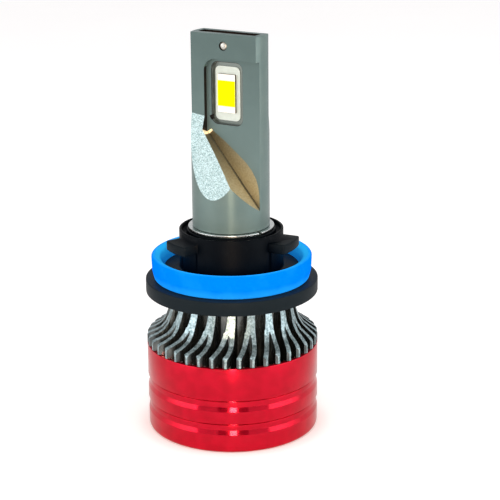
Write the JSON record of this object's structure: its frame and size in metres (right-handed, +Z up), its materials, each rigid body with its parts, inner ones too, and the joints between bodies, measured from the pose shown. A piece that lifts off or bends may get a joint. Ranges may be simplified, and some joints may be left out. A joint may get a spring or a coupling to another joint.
{
  "type": "headlight bulb",
  "caption": "LED headlight bulb with a flat grey post, a keyed black adapter collar, a blue seal ring, swirling cooling fins and a red grooved shell over its cooling fan.",
  "frame": {"origin": "centre of the bottom rim of the red shell, on the bulb's axis", "axes": "+Z up along the bulb's axis towards the tip of the post; -Y out of the front light emitting face"},
  "size_m": [0.0316, 0.0316, 0.0733],
  "materials": {
    "red_anodised": "satin anodised",
    "machined_aluminium": "bright, turned",
    "grey_aluminium": "satin grey",
    "black_plastic": "matt moulded",
    "blue_silicone": "satin",
    "black_rubber": "matt",
    "bright_steel": "bright",
    "black_steel": "satin black",
    "copper": "oxidised copper",
    "bronze": "sintered bronze",
    "white_ceramic": "satin",
    "white_plastic": "satin",
    "yellow_phosphor": "matt phosphor",
    "fan_plastic": "satin black",
    "circuit_board": "green solder mask",
    "chip_plastic": "matt black",
    "ferrite": "matt grey",
    "red_insulation": "satin",
    "black_insulation": "satin"
  },
  "bodies": {
    "housing": {"red_shell": "red_anodised", "rear_grille": "black_steel", "cable_grommet": "black_rubber", "fan_frame": "fan_plastic", "fan_bearing": "bronze", "fan_stator": "bright_steel", "fan_board": "circuit_board", "heat_sink": "machined_aluminium", "driver_board": "circuit_board", "driver_chip": "chip_plastic", "driver_inductor": "ferrite", "lead_connector": "white_plastic", "lamp_post": "grey_aluminium", "core_plate": "copper", "post_pin": "bright_steel", "snap_ring": "bright_steel", "post_o_ring": "black_rubber", "supply_wire_1": "red_insulation", "supply_wire_2": "black_insulation", "grille_screw_1": "bright_steel", "grille_screw_2": "bright_steel", "grille_screw_3": "bright_steel", "fan_coil_1": "copper", "fan_coil_2": "copper", "fan_coil_3": "copper", "fan_coil_4": "copper", "driver_capacitor_1": "bright_steel", "board_screw_1": "bright_steel", "driver_capacitor_2": "bright_steel", "board_screw_2": "bright_steel", "led_board_front": "white_ceramic", "led_emitter_front": "white_plastic", "led_phosphor_front": "yellow_phosphor", "led_board_back": "white_ceramic", "led_emitter_back": "white_plastic", "led_phosphor_back": "yellow_phosphor"},
    "collar": {"adapter_base": "black_plastic", "seal_ring": "blue_silicone"},
    "impeller": {"fan_impeller": "fan_plastic", "fan_shaft": "bright_steel", "fan_magnet_ring": "ferrite", "shaft_clip": "bright_steel"}
  },
  "joints": [
    {"name": "collar_turn", "type": "hinge", "parent": "housing", "child": "collar", "pos_m": [0, 0, 0.0285], "axis": [0, 0, 1], "continuous": true},
    {"name": "fan_spin", "type": "hinge", "parent": "housing", "child": "impeller", "pos_m": [0, 0, 0.005], "axis": [0, 0, 1], "continuous": true}
  ]
}
